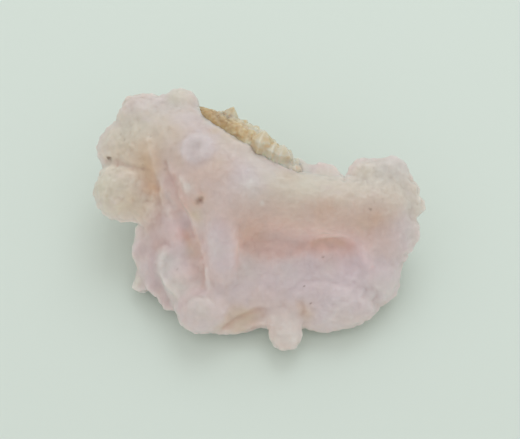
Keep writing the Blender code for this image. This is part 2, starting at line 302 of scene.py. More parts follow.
CREASES = [
    (0.3, 0.9, [(-12.8, -2.2), (-12.2, -3.7), (-11.5, -5.2), (-11.1, -7.0)]),
    (0.15, 0.45, [(-10.7, -8.5), (-10.6, -10.6), (-10.6, -12.6)]),
    (0.55, 1.1, [(-16.5, 7.2), (-15.4, 5.2), (-14.3, 1.9), (-13.3, -0.4), (-13.0, -2.8)]),
    (0.45, 0.5, [(-17.6, 10.4), (-17.4, 9.3), (-17.0, 8.1)]),
    (0.3, 0.7, [(-18.3, 7.4), (-18.5, 5.6), (-18.5, 3.3)]),
    (0.35, 1.2, [(-3.7, -1.5), (-3.5, -5.2), (-3.7, -8.5), (-4.4, -11.5), (-6.7, -13.1)]),
    (0.3, 0.6, [(-6.7, -20.0), (-5.0, -18.9), (-2.8, -17.8), (-0.9, -16.9), (0.4, -16.5)]),
    (
        0.2,
        0.7,
        [
            (5.7, -12.8), (8.1, -11.5), (10.4, -11.1), (13.1, -11.7), (15.9, -11.5), (18.9, -12.4),
            (21.1, -13.3), (22.0, -14.8),
        ],
    ),
    (0.35, 0.8, [(7.2, -14.8), (7.8, -15.9), (8.0, -17.4)]),
    (
        0.2,
        0.6,
        [
            (-13.5, -15.4), (-12.8, -14.4), (-11.7, -14.1), (-10.4, -14.4), (-9.3, -14.3),
            (-8.3, -15.2),
        ],
    ),
    (0.55, 0.7, [(-28.5, 10.9), (-27.4, 10.7), (-25.9, 10.4), (-23.5, 9.8), (-21.9, 9.4)]),
    (0.15, 0.9, [(10.0, -5.0), (11.5, -4.3), (13.1, -3.9), (14.8, -4.3), (16.1, -5.2)]),
    (0.2, 0.8, [(-2.6, -4.8), (0.4, -5.6), (3.0, -5.7), (5.6, -6.3)]),
    (0.15, 0.5, [(-25.9, 8.9), (-24.1, 9.3), (-22.6, 8.7), (-22.2, 7.4), (-23.0, 6.1)]),
    (0.3, 1.8, [(-20.6, -4.4), (-20.7, -7.4), (-20.2, -10.4), (-18.9, -12.6)]),
    (0.8, 0.8, [(30.6, 0.4), (29.6, 0.2)]),
    (0.7, 0.7, [(30.2, 5.0), (29.3, 5.0)]),
    (0.5, 0.7, [(28.9, 7.4), (28.1, 7.4)]),
    (0.6, 0.6, [(27.8, -6.7), (27.0, -6.7)]),
    (0.35, 0.5, [(15.2, 8.1), (15.7, 7.2)]),
    (0.6, 1.0, [(23.3, -16.9), (22.2, -16.1), (21.3, -15.2)]),
    (0.5, 0.6, [(-18.9, 23.5), (-18.7, 22.8)]),
    (0.4, 0.6, [(-26.3, 20.9), (-25.6, 20.6)]),
]

# Low round swellings and dints: place, radius and height.
SWELLINGS = [
    ((-11.1, 3.5), 0.7, -0.8),
    ((-25.0, -10.4), 2.2, -0.8),
    ((-15.9, -18.0), 1.6, -0.5),
    ((20.6, 11.9), 2.4, -0.7),
    ((23.0, 12.0), 1.6, -0.4),
    ((-10.7, -16.1), 1.7, 0.2),
    ((4.8, -21.9), 1.6, 0.3),
    ((2.2, -18.9), 1.2, 0.3),
    ((7.4, -18.9), 1.2, 0.25),
    ((6.1, -23.1), 1.0, 0.3),
    ((0.6, -18.9), 1.0, 0.4),
    ((-1.9, 5.9), 3.2, 0.25),
    ((14.8, -14.8), 3.5, 0.3),
    ((-14.8, -9.6), 2.5, 0.3),
    ((-16.3, 23.7), 1.6, 0.3),
    ((-23.1, 22.6), 1.6, 0.3),
    ((-20.4, 23.0), 1.4, 0.3),
    ((-26.3, 14.4), 2.5, 0.2),
    ((-24.4, 7.0), 2.5, 0.25),
    ((-20.4, 1.9), 1.4, 0.3),
    ((-15.6, -1.7), 2.2, 0.25),
    ((6.3, 10.0), 1.0, 0.5),
    ((19.4, -1.1), 2.5, -0.2),
    ((11.1, -0.4), 2.0, 0.15),
    ((15.7, -0.4), 1.8, -0.15),
]

# Small dark holes where a grain has dropped out: place and radius. Each is PIT_DEPTH radii deep.
PIT_DEPTH = 1.2
PITS = [
    ((-28.1, 11.3), 0.26),
    ((-27.8, 11.3), 0.24),
    ((-15.2, -9.3), 0.18),
    ((-25.0, 14.6), 0.16),
    ((-25.7, 15.6), 0.12),
    ((-21.7, 10.0), 0.14),
    ((-20.2, 15.4), 0.14),
    ((-23.1, -6.9), 0.14),
    ((20.4, 1.9), 0.16),
    ((11.7, -7.0), 0.18),
    ((28.9, 2.8), 0.16),
    ((21.1, 9.6), 0.12),
    ((12.8, -14.4), 0.14),
    ((9.4, -15.6), 0.16),
    ((8.3, -12.4), 0.12),
    ((11.5, 1.1), 0.1),
]

# The round knob on the crown: a low disc with a soft edge and a dint, its eye, in the middle.
KNOB_PLACE = (-11.7, 13.7)
KNOB_RADIUS = 3.4
KNOB_EDGE = 0.28
KNOB_RISE = 0.26
KNOB_EYE = 1.5
KNOB_EYE_DEPTH = 0.22
from_knob = np.linalg.norm(skin - met(bare_skin, KNOB_PLACE), axis=1)
knob = 1 / (1 + np.exp((from_knob - KNOB_RADIUS) / KNOB_EDGE))
knob_eye = bell(from_knob, KNOB_EYE)


def low_relief(points, edge):
    """How far each point of the skin stands out in millimetres: the folds and swellings less the
    creases and pits, the knob, the beads where the skin is granular, and unevenness all over. At
    the outline the grains stand out more. Each layer of grains or unevenness is its height times the
    beads or mottle of a size, with a seed."""
    rise = np.zeros(len(points))
    sway = swayed(points, 0.3, 2.2, 40)
    for height, width, places in FOLDS:
        rise += height * bell(from_path(sway, [met(bare_skin, place) for place in places]), width)
    for depth, width, places in CREASES:
        rise -= depth * bell(from_path(sway, [met(bare_skin, place) for place in places]), width)
    for place, radius, height in SWELLINGS:
        rise += height * bell(np.linalg.norm(sway - met(bare_skin, place), axis=1), radius)
    rise += KNOB_RISE * knob - KNOB_EYE_DEPTH * knob_eye
    for place, radius in PITS:
        rise -= PIT_DEPTH * radius * bell(np.linalg.norm(sway - met(bare_skin, place), axis=1), radius)
    grained = dabs(points, bare_skin, GRAINED)
    rise += grained * (0.3 * mottle(points, 2.4, 3) + 0.16 * mottle(points, 1.2, 9))
    rise += grained * (0.24 * beads(points, 0.9, 14) - 0.12)
    edge_grains = 0.7 * beads(points, 1.4, 17) + 0.3 * beads(points, 0.8, 23) - 0.4
    rise += edge * (0.6 + 0.8 * grained) * edge_grains
    rise += (1 - 0.6 * grained) * (0.2 * mottle(points, 3.4, 1) + 0.12 * mottle(points, 1.5, 2))
    return rise + 0.1 * beads(points, 1.0, 5) + 0.05 * mottle(points, 0.7, 6)


OUTLINE_WIDTH = 0.35
outline = bell(skin_out @ TO_EYE, OUTLINE_WIDTH)
skin = skin + low_relief(skin, outline)[:, None] * skin_out
skin[:, 2] = np.maximum(skin[:, 2], 0.0)
skin_out = outward(skin, skin_faces)


def nearest_of(samples, points):
    """For each point, the number of the sample that lies nearest to it."""
    tree = KDTree(len(samples))
    for number, sample in enumerate(samples):
        tree.insert(sample, number)
    tree.balance()
    return np.array([tree.find(point)[1] for point in points])


def spread(count):
    """Directions spread evenly all round: their heights go down in equal steps, and each is turned on
    from the one before by the golden angle."""
    number = np.arange(count)
    height = 1 - 2 * (number + 0.5) / count
    angle = number * math.pi * (3 - math.sqrt(5))
    ring = np.sqrt(1 - height**2)
    return np.stack([ring * np.cos(angle), ring * np.sin(angle), height], 1)


SHUT_WAYS = 40
SHUT_REACH = 25.0
GROUND_SHARE = 0.5


def shut_in(points, normals, tree):
    """How much of the light that a point faces is kept from it, from 0 to 1: the share of evenly spread
    directions, each weighed by its cosine to the normal, along which the skin is met within the reach.
    A direction that meets only the ground below counts for a part."""
    ways = spread(SHUT_WAYS)
    shut = np.zeros(len(points))
    for n, (point, weights) in enumerate(zip(points + 0.6 * normals, normals @ ways.T)):
        faced = np.flatnonzero(weights > 0.1)
        blocked = [
            1.0 if tree.ray_cast(point, ways[w], SHUT_REACH)[0] else GROUND_SHARE * (ways[w][2] < 0)
            for w in faced
        ]
        shut[n] = (weights[faced] * blocked).sum() / weights[faced].sum()
    return shut


def depth_under(points, normals, tree, reach=40.0):
    """How far it is from each point straight in to the skin beyond, or the reach where none is met."""
    found = [tree.ray_cast(p - 0.2 * n, -n, reach)[3] for p, n in zip(points, normals)]
    return np.array([depth or reach for depth in found])


# How shut in and how thin the stone is at each point, from every twelfth point and then eased. The
# stone counts as thin up to about THIN_DEPTH.
PROBE_SPACING = 12
PROBE_PASSES = 12
THIN_DEPTH = 7.0
SHUT_LIMIT = 0.62
skin_tree = BVHTree.FromPolygons(skin.tolist(), skin_faces.tolist())
probes = np.arange(0, len(skin), PROBE_SPACING)
probe_of = nearest_of(skin[probes], skin)
shut = shut_in(skin[probes], skin_out[probes], skin_tree)[probe_of]
through = depth_under(skin[probes], skin_out[probes], skin_tree)
thin = np.clip(1.15 - through / THIN_DEPTH, 0, 1)[probe_of]
shut, thin = eased(np.stack([shut, thin], 1), skin_faces, PROBE_PASSES).T
shut = np.minimum(shut, SHUT_LIMIT)

# Where the skin turns away from the display side, at its outline, its colour is greyed: painted light,
# for the paper seen through the clear thin edge. The tint fades faster on the near side. Along the crust
# the ridge is stained and isn't greyed: strength, half-width and places.
NEAR_RIM = 0.27
FAR_RIM = 0.6
STAINED_EDGE = [
    (
        0.9,
        1.2,
        [
            (-11.1, 19.3), (-9.4, 17.8), (-6.9, 15.7), (-3.3, 13.7), (-0.4, 12.0), (2.8, 10.6),
            (5.6, 9.3), (7.4, 8.9),
        ],
    ),
]
facing = skin_out @ TO_EYE
rim = bell(facing, np.where(facing > 0, NEAR_RIM, FAR_RIM))
rim *= 1 - streaks(skin, bare_skin, STAINED_EDGE)

SUNK_PASSES = 40
SUNK_DEPTH = 0.5


def sunk(points, faces, normals):
    """How deep each point lies among its neighbours, from -1 on a crest to 1 in a crease: how far the
    eased surface stands out beyond it, as a share of SUNK_DEPTH."""
    depth = ((eased(points, faces, SUNK_PASSES) - points) * normals).sum(1)
    return np.clip(depth / SUNK_DEPTH, -1, 1)


hollow = sunk(skin, skin_faces, skin_out)

# The chalcedony's stuff: milky translucent silica, pale lilac pink from traces of iron, which stains it
# cream on the crests and bubbles and orange to salmon red where the gel lies thick between the folds. The
# salmon red in every hollow and the milky tint on every crest are also painted shade and painted light.
# Each tint's dabs are a place, radius and strength; each streak is a strength, half-width and places.
LILAC = [
    ((-14.1, -2.0), 1.3, 0.7),
    ((-1.7, 6.7), 4.5, 1.0),
    ((0.4, 4.4), 3.0, 0.5),
    ((-15.6, -1.5), 3.0, 0.8),
    ((-6.9, -2.2), 3.5, 0.8),
    ((-7.0, -7.8), 3.0, 0.6),
    ((25.9, -0.9), 4.0, 0.8),
    ((25.0, 9.8), 2.4, 0.6),
    ((16.7, -9.3), 6.0, 0.7),
    ((23.1, -12.0), 5.0, 0.6),
    ((9.3, -8.9), 5.0, 0.5),
    ((1.9, -10.2), 4.0, 0.5),
    ((13.0, -15.7), 5.0, 0.5),
    ((-18.5, 21.1), 4.0, 0.3),
    ((-16.7, -8.3), 3.0, 0.5),
    ((-21.9, -3.7), 3.0, 0.4),
    ((18.1, 9.6), 3.0, 0.3),
]
CREAM = [
    ((-23.0, -3.7), 1.3, 0.6),
    ((-23.1, -7.8), 1.3, 0.6),
    ((-23.1, -11.3), 1.3, 0.6),
    ((-24.1, 22.8), 1.8, 0.5),
    ((-20.4, 23.3), 1.8, 0.4),
    ((-25.9, 18.9), 1.8, 0.4),
    ((18.9, 9.3), 3.0, 0.6),
    ((21.9, 8.9), 3.0, 0.5),
    ((25.9, 7.0), 3.0, 0.5),
    ((-26.3, 14.8), 5.5, 0.8),
    ((-29.1, 6.5), 5.0, 1.0),
    ((-25.9, 3.7), 5.0, 0.8),
    ((-14.8, 22.8), 3.2, 0.8),
    ((-17.6, 16.7), 4.0, 0.4),
    ((-22.2, 17.0), 4.0, 0.6),
    ((-20.4, 20.0), 4.0, 0.3),
    ((4.6, 5.9), 4.0, 0.5),
    ((9.3, 6.3), 4.0, 0.6),
    ((14.8, 5.7), 4.0, 0.6),
    ((20.0, 5.9), 4.5, 0.5),
    ((7.4, 7.8), 3.0, 0.6),
    ((12.0, 8.1), 3.0, 0.5),
    ((24.4, 4.6), 4.0, 0.4),
    ((29.3, 3.3), 4.0, 0.7),
    ((2.2, 7.8), 3.0, 0.4),
    ((-0.9, 11.5), 3.0, 0.4),
    ((-4.6, 14.4), 3.0, 0.4),
    ((-11.7, 0.7), 1.6, 0.5),
]
ROSE = [
    ((-18.9, -13.3), 1.3, 0.6),
    ((-17.2, -15.0), 1.3, 0.6),
    ((-16.7, 1.5), 2.0, 0.4),
    ((-15.2, -2.8), 1.6, 0.3),
    ((-8.3, 8.9), 4.0, 0.8),
    ((-12.0, 7.8), 3.5, 0.8),
    ((-15.7, 11.1), 3.5, 0.7),
    ((-3.7, 1.5), 4.0, 0.7),
    ((0.4, 1.1), 4.5, 0.9),
    ((5.6, 1.5), 5.0, 0.9),
    ((11.1, 1.5), 5.0, 0.9),
    ((16.7, 1.1), 5.0, 0.9),
    ((21.1, -0.4), 4.5, 0.9),
    ((24.1, 1.5), 4.0, 0.5),
    ((-10.2, 1.9), 3.0, 0.5),
    ((7.4, 3.7), 4.0, 0.5),
    ((14.8, 3.3), 4.0, 0.5),
    ((-20.7, -0.9), 4.0, 0.5),
    ((1.9, 3.7), 3.0, 0.4),
]
# Darker lilac, in part the stone's own colour and in part painted shade in the recesses and on the lower
# left side.
DUSKY_AND_SHADE = [
    ((-14.1, -2.2), 1.2, 0.4),
    ((-12.4, -4.4), 1.4, 0.4),
    ((-11.1, -13.9), 1.9, 0.8),
    ((-17.8, -15.6), 1.6, 0.8),
    ((-16.3, -15.9), 1.3, 0.4),
    ((-21.1, -13.0), 1.3, 0.4),
    ((-22.2, -5.9), 1.5, 0.5),
    ((-18.0, -4.8), 1.2, 0.5),
    ((-19.3, -3.7), 1.4, 0.3),
    ((-1.5, -20.2), 1.3, 0.4),
    ((-14.1, -8.5), 2.0, 0.5),
    ((-13.7, -6.7), 1.6, 0.4),
    ((7.4, 10.4), 1.6, 0.5),
    ((5.9, 9.6), 1.4, 0.4),
    ((-19.6, -7.8), 1.6, 0.7),
    ((-19.6, -9.6), 1.8, 0.6),
    ((-19.8, -11.9), 2.0, 0.6),
    ((-20.4, -5.6), 1.6, 0.6),
    ((-18.5, -0.4), 1.2, 0.5),
    ((-18.9, -2.8), 1.4, 0.4),
    ((-14.8, -15.7), 1.5, 0.4),
    ((-14.4, -14.8), 1.2, 0.4),
]
PALE = [
    ((-1.9, 5.6), 4.0, 0.4),
    ((-12.6, -5.6), 1.3, 0.4),
    ((-1.9, -9.3), 2.5, 0.3),
    ((5.6, -9.4), 2.5, 0.3),
    ((13.0, -9.1), 2.5, 0.3),
    ((19.4, -1.1), 2.0, 0.2),
    ((25.2, 9.8), 3.0, 0.7),
    ((28.1, -3.0), 2.5, 0.7),
    ((29.6, 3.3), 2.0, 0.5),
    ((-17.6, -6.7), 1.2, 0.8),
    ((-18.1, -8.5), 1.6, 0.9),
    ((-17.6, -10.7), 2.0, 0.7),
    ((-15.2, -13.0), 2.2, 0.8),
    ((4.6, -18.9), 3.0, 0.1),
    ((5.0, -22.2), 3.0, 0.35),
    ((-10.6, -16.7), 2.2, 0.7),
    ((-8.1, -5.6), 2.2, 0.3),
    ((-1.9, 5.9), 2.0, 0.4),
    ((-15.6, -7.8), 2.0, 0.4),
    ((23.1, -13.0), 4.0, 0.5),
    ((14.8, -17.0), 4.0, 0.4),
    ((-13.5, 6.3), 0.9, 0.6),
]
# Thin pale crests; whitish spots, which are painted highlights; and painted shade in the openings between
# the folds and the dim places about them.
CREST = [
    (0.5, 2.2, [(23.3, 9.8), (25.9, 9.8)]),
    (0.8, 0.5, [(-17.6, -5.7), (-18.1, -7.4), (-18.1, -9.6), (-17.4, -11.9), (-15.9, -13.5)]),
    (0.5, 0.6, [(-14.3, 7.2), (-13.3, 5.6)]),
    (0.4, 0.6, [(-18.9, 8.9), (-18.0, 6.1), (-18.1, 4.1)]),
    (0.35, 0.5, [(-9.8, -9.6), (-9.6, -11.5), (-9.6, -13.1)]),
    (0.3, 0.6, [(-13.0, -15.0), (-11.5, -14.4), (-9.8, -14.6), (-8.7, -15.4)]),
    (0.3, 0.6, [(0.7, -18.7), (1.9, -18.1), (3.0, -18.5)]),
]
GLINTS = [
    ((-17.6, -6.3), 0.5, 0.9),
    ((-18.0, -7.0), 0.5, 0.95),
    ((-18.1, -8.1), 0.4, 0.6),
    ((-1.7, 7.0), 0.5, 0.5),
    ((-2.2, 6.1), 0.4, 0.4),
    ((-12.4, 11.1), 0.4, 0.4),
    ((5.9, -22.0), 0.7, 0.5),
    ((0.4, 3.1), 0.5, 0.5),
    ((-13.5, 5.9), 0.4, 0.4),
]
SHADED_HOLES = [
    ((-14.6, -2.0), 1.7, 0.14),
    ((-17.8, -15.6), 1.5, 0.1),
    ((-20.7, -12.6), 1.5, 0.1),
    ((-1.9, -20.2), 1.8, 0.12),
    ((-10.7, -13.9), 1.8, 0.1),
    ((5.6, 8.0), 1.8, 0.1),
    ((-22.0, -5.9), 1.6, 0.1),
    ((-13.0, 1.7), 1.6, 0.08),
    ((-18.1, -4.8), 1.3, 0.1),
    ((-11.1, 3.5), 0.5, 0.75),
    ((-11.7, 3.1), 0.4, 0.5),
    ((-10.7, 4.1), 0.35, 0.5),
    ((-28.0, 11.3), 0.5, 0.5),
    ((-17.6, 9.3), 0.35, 0.35),
]
# Stains of iron: amber and orange where the gel is thick, salmon red between the folds, and rust.
AMBER = [
    ((-15.2, 15.4), 2.0, 0.25),
    ((-15.2, 11.5), 1.8, 0.25),
    ((-7.8, 11.1), 2.0, 0.25),
    ((-7.0, 14.3), 1.8, 0.25),
    ((-10.6, 18.3), 1.8, 0.2),
    ((-10.0, 18.3), 1.0, 0.5),
    ((-8.1, 16.7), 1.0, 0.5),
    ((-6.3, 15.0), 1.0, 0.5),
    ((-4.1, 13.7), 1.0, 0.45),
    ((-23.1, 3.7), 2.2, 0.4),
    ((-3.7, -20.0), 1.4, 0.5),
    ((-7.0, 17.0), 1.2, 0.4),
    ((-4.1, 14.8), 1.2, 0.4),
    ((5.2, 8.1), 1.6, 0.4),
    ((7.4, 10.2), 2.0, 0.5),
    ((-11.9, 20.0), 1.2, 0.4),
    ((-9.6, 18.7), 1.0, 0.3),
    ((-20.4, 13.0), 2.6, 0.6),
    ((-22.2, 13.0), 3.0, 0.35),
    ((-24.4, 12.6), 3.5, 0.3),
    ((-21.1, 9.3), 2.5, 0.6),
    ((-23.1, 8.3), 3.0, 0.3),
    ((-20.0, 3.7), 2.2, 0.4),
    ((-21.7, 1.1), 2.0, 0.35),
    ((-24.4, 1.5), 2.5, 0.2),
    ((-26.3, 2.8), 3.0, 0.2),
    ((-4.4, -17.4), 1.8, 0.5),
    ((-2.6, -18.1), 1.6, 0.5),
    ((-6.5, -19.6), 2.0, 0.4),
    ((8.5, -16.9), 1.8, 0.45),
    ((-11.9, 0.7), 1.4, 0.5),
    ((-17.6, 16.7), 3.5, 0.25),
]
ORANGE = [
    (0.9, 2.0, [(-20.7, 10.6), (-20.2, 8.5), (-19.6, 6.3)]),
    (0.3, 0.9, [(-18.5, 5.9), (-18.3, 3.7)]),
    (0.5, 1.3, [(-13.0, -3.3), (-12.2, -4.8), (-11.9, -6.3)]),
    (0.3, 1.0, [(-3.7, -18.9), (-1.9, -18.0), (-0.4, -17.2)]),
    (0.35, 1.8, [(19.3, -0.7), (20.6, -1.1), (21.7, 0.2)]),
    (0.25, 1.8, [(11.5, 1.3), (13.0, 1.9)]),
    (0.3, 2.2, [(-1.9, -2.2), (-0.4, -3.0)]),
]
SALMON = [
    (0.4, 1.3, [(-4.4, -19.6), (-2.6, -19.1), (-0.4, -18.3)]),
    (0.35, 1.2, [(-11.9, -5.6), (-11.5, -7.4), (-11.3, -8.9)]),
    (0.6, 1.9, [(-16.3, 7.2), (-15.6, 5.2), (-14.8, 3.0)]),
    (0.45, 1.5, [(-14.1, 3.7), (-13.5, 1.9)]),
    (0.3, 1.2, [(-10.6, -3.7), (-10.2, -6.7)]),
    (0.35, 1.1, [(-4.1, -5.6), (-4.4, -8.1)]),
    (0.4, 1.6, [(-15.9, -1.5), (-17.4, -3.7), (-19.1, -4.8)]),
    (0.35, 1.3, [(-19.3, 5.9), (-18.9, 4.1)]),
    (0.6, 1.9, [(-2.4, -4.3), (-0.4, -4.8), (1.9, -5.0), (4.1, -5.2)]),
    (0.7, 1.8, [(7.4, -5.2), (10.4, -4.8), (13.1, -4.6), (15.9, -5.4)]),
    (0.4, 4.5, [(-1.9, -1.1), (5.6, -1.9), (13.0, -2.2), (18.9, -1.9)]),
    (0.4, 1.2, [(-18.3, 2.4), (-18.9, 0.7), (-19.3, -1.5)]),
]
RUST = [
    (0.3, 0.7, [(-12.4, -2.2), (-12.0, -3.5), (-11.3, -5.0)]),
    (0.15, 0.5, [(-10.7, -8.5), (-10.6, -10.6), (-10.6, -12.6)]),
    (0.3, 0.6, [(-6.7, -20.0), (-5.0, -18.9), (-2.8, -17.8), (-0.9, -16.9)]),
    (0.4, 0.9, [(-12.0, 3.0), (-11.1, 3.5), (-10.6, 4.3)]),
    (0.3, 0.8, [(7.4, -15.9), (8.1, -17.2)]),
    (0.45, 0.8, [(10.0, -4.4), (11.5, -3.9), (13.3, -3.9), (15.2, -4.4)]),
    (0.3, 0.4, [(-17.6, 10.0), (-17.2, 8.5)]),
]


class Term:
    """A socket's value inside a material, on which formulas are written as Python expressions."""

    def __init__(self, finish, socket):
        self.finish, self.socket = finish, socket

    def math(self, operation, *values):
        return self.finish.node("ShaderNodeMath", {"operation": operation}, dict(enumerate(values)))

    def __add__(self, other):
        return self.math("ADD", self, other)

    def __rsub__(self, other):
        return self.math("SUBTRACT", other, self)

    def __mul__(self, other):
        return self.math("MULTIPLY", self, other)

    def __rtruediv__(self, other):
        return self.math("DIVIDE", other, self)

    __radd__ = __add__
    __rmul__ = __mul__


class Finish:
    """A material under way: its nodes are added by one method, and end in its Principled surface."""

    def __init__(self, name, constants):
        self.material = bpy.data.materials.new(name)
        self.material.use_nodes = True
        self.nodes = self.material.node_tree.nodes
        self.surface = self.nodes["Principled BSDF"]
        self.fill(self.surface, constants)

    def fill(self, node, values):
        for key, value in values.items():
            if isinstance(value, Term):
                self.material.node_tree.links.new(value.socket, node.inputs[key])
            else:
                node.inputs[key].default_value = value

    def node(self, kind, settings, values, output=0):
        made = self.nodes.new(kind)
        for key, value in settings.items():
            setattr(made, key, value)
        self.fill(made, values)
        return Term(self, made.outputs[output])

    def ends_in(self, values):
        self.fill(self.surface, values)
        return self.material

    def place(self):
        return self.node("ShaderNodeTexCoord", {}, {}, "Object")

    def cloud(self, size, detail=3.0):
        """Noise from 0 to 1 whose patches are about that many millimetres across."""
        values = {"Vector": self.place(), "Scale": 1 / (size * MM), "Detail": detail}
        return self.node("ShaderNodeTexNoise", {}, values, "Fac")

    def share(self, name):
        return self.node("ShaderNodeAttribute", {"attribute_name": name}, {}, "Fac")

    def ramp(self, value, low, high):
        """The value's place between low and high, held to 0 and 1 and eased at both ends."""
        limits = {0: value, 1: low, 2: high, 3: 0.0, 4: 1.0}
        return self.node("ShaderNodeMapRange", {"interpolation_type": "SMOOTHSTEP"}, limits)

    def mix(self, share, under, over):
        """Two colours mixed: under at a share of 0, over at 1."""
        values = {0: share, 6: under, 7: over}
        return self.node("ShaderNodeMix", {"data_type": "RGBA"}, values, 2)

    def scaled(self, colour, factor):
        return self.node("ShaderNodeVectorMath", {"operation": "SCALE"}, {0: colour, "Scale": factor})

    def bump(self, height, strength, reach):
        values = {"Height": height, "Strength": strength, "Distance": reach * MM}
        return self.node("ShaderNodeBump", {}, values)


STONE_LILAC = (0.55, 0.47, 0.475, 1.0)
COOL_LILAC = (0.545, 0.465, 0.505, 1.0)
WARM_LILAC = (0.55, 0.455, 0.435, 1.0)
ROSE_BEIGE = (0.55, 0.425, 0.375, 1.0)
GREEN_CREAM = (0.55, 0.51, 0.43, 1.0)
RUST_ORANGE = (0.52, 0.33, 0.22, 1.0)
AMBER_CREAM = (0.53, 0.42, 0.315, 1.0)
SALMON_RED = (0.52, 0.345, 0.305, 1.0)
MILK = (0.555, 0.52, 0.495, 1.0)
DUSKY_SHADE_LILAC = (0.47, 0.36, 0.37, 1.0)
EDGE_GREY = (0.385, 0.385, 0.35, 1.0)
PAPER_SEEN_THROUGH = (0.55, 0.57, 0.52, 1.0)
WHITE = (0.66, 0.64, 0.62, 1.0)
KNOB_EYE_LILAC = (0.43, 0.365, 0.36, 1.0)
KNOB_PALE = (0.565, 0.50, 0.51, 1.0)
DUSK = (0.16, 0.09, 0.06, 1.0)
SHADE_BROWN = (0.27, 0.17, 0.11, 1.0)

stone = Finish(
    "pink_chalcedony",
    {
        "IOR": 1.54,
        "Subsurface Weight": 1.0,
        "Subsurface Radius": (1.0, 0.9, 0.85),
        "Subsurface Scale": 2.5 * MM,
    },
)
patches = stone.cloud(7.0)
flecks = stone.cloud(1.6, 5.0)
veil = stone.cloud(3.2, 4.0)
tone = stone.mix(stone.ramp(patches + 0.3 * flecks, 0.5, 0.8), STONE_LILAC, WARM_LILAC)
for name, low, colour in (
    ("lilac", -0.2, COOL_LILAC),
    ("rose", -0.2, ROSE_BEIGE),
    ("cream", 0.0, GREEN_CREAM),
):
    tone = stone.mix(stone.share(name) * stone.ramp(veil, low, 0.5), tone, colour)
# The dusky lilac is in part painted shade.
for name, colour in (
    ("dusky_and_shade", DUSKY_SHADE_LILAC),
    ("salmon", SALMON_RED),
    ("orange", RUST_ORANGE),
    ("amber", AMBER_CREAM),
):
    tone = stone.mix(stone.share(name), tone, colour)
tone = stone.mix(stone.share("pale") * stone.ramp(veil, 0.1, 0.5), tone, MILK)
tone = stone.mix(stone.share("crest"), tone, MILK)
# Painted highlights: the glints are whitened.
tone = stone.mix(stone.share("glints"), tone, WHITE)
tone = stone.mix(0.8 * stone.share("knob"), tone, KNOB_PALE)
tone = stone.mix(0.9 * stone.share("knob_eye"), tone, KNOB_EYE_LILAC)
# Painted shade and light: the hollows are tinted salmon red and the crests milky, by how deep the skin
# lies.
tone = stone.mix(0.3 * stone.ramp(stone.share("hollow"), 0.1, 1.0), tone, SALMON_RED)
tone = stone.mix(0.2 * stone.ramp(0 - stone.share("hollow"), 0.1, 1.0), tone, MILK)
# Painted light: where the stone is thin its colour is greyer and greener, for the paper seen through it.
tone = stone.mix(0.5 * stone.share("thin"), tone, PAPER_SEEN_THROUGH)
tone = stone.mix(0.8 * stone.share("rust"), tone, RUST_ORANGE)
# Painted light: the outline as seen from the display side is greyed, for the paper seen through it.
tone = stone.mix(stone.share("rim") * (0.65 + 0.35 * veil), tone, EDGE_GREY)
tone = stone.scaled(tone, 0.92 + 0.15 * stone.cloud(1.1, 5.0))
# Light also reaches a shut-in place through the stone, and its colour is raised for that.
tone = stone.scaled(tone, 1.1 / (1 - 0.7 * stone.share("shut")))
tone = stone.mix(0.9 * stone.share("pits"), tone, DUSK)
# Painted shade: the openings between the folds and the dim places about them are darkened brown.
tone = stone.mix(stone.share("shaded_holes"), tone, SHADE_BROWN)
grain = 0.7 * stone.cloud(0.9, 4.0) + 0.3 * stone.cloud(0.3, 2.0)
stone_finish = stone.ends_in(
    {
        "Base Color": tone,
        "Roughness": 0.36 + 0.2 * flecks,
        "Normal": stone.bump(grain, 0.32, 0.25),
    }
)


def piece(name, points, faces, finish, shares):
    """A smooth-shaded piece at the origin, with a value at each point for every named share."""
    mesh = bpy.data.meshes.new(name)
    mesh.from_pydata(points * MM, [], faces)
    mesh.shade_smooth()
    for key, values in shares.items():
        layer = mesh.attributes.new(key, "FLOAT", "POINT")
        layer.data.foreach_set("value", np.asarray(values, np.float32))
    mesh.materials.append(finish)
    made = bpy.data.objects.new(name, mesh)
    bpy.context.scene.collection.objects.link(made)
    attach(made, "root")
    return made


# The edges of the zones of colour wander, and those of the small marks are wavy.
wander = swayed(skin, 0.8, 3.0, 60)
wavy = swayed(skin, 0.15, 0.6, 70)
zones = {
    "lilac": dabs(wander, bare_skin, LILAC),
    "cream": dabs(wander, bare_skin, CREAM),
    "rose": dabs(wander, bare_skin, ROSE),
    "dusky_and_shade": dabs(wander, bare_skin, DUSKY_AND_SHADE),
    "pale": dabs(wander, bare_skin, PALE),
    "amber": dabs(wander, bare_skin, AMBER),
    "crest": streaks(skin, bare_skin, CREST),
    "glints": dabs(wavy, bare_skin, GLINTS),
    "shaded_holes": dabs(wavy, bare_skin, SHADED_HOLES),
    "orange": streaks(wander, bare_skin, ORANGE),
    "salmon": streaks(wander, bare_skin, SALMON),
    "rust": streaks(skin, bare_skin, RUST),
    "shut": shut,
    "thin": thin,
    "rim": rim,
    "knob": knob,
    "knob_eye": knob_eye,
    "hollow": hollow,
    "pits": dabs(wavy, bare_skin, [(place, 1.1 * radius, 0.9) for place, radius in PITS]),
}
stone_piece = piece("chalcedony_stone", skin, skin_faces, stone_finish, zones)
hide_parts("chalcedony")

# The druse behind the ridge: small quartz crystals, six-sided with blunt six-sided points, grown side
# by side on a thin bed that iron has stained honey brown. They are clear to milky inside.
BED_MIDDLE = np.array((-2.7, 11.93, 12.8))
BED_RADII = np.array((15.2, 3.7, 8.4))
BED_TURN = math.radians(-36.0)
BED_AXES = np.array(
    (
        (math.cos(BED_TURN), math.sin(BED_TURN), 0),
        (-math.sin(BED_TURN), math.cos(BED_TURN), 0),
        (0, 0, 1),
    )
)


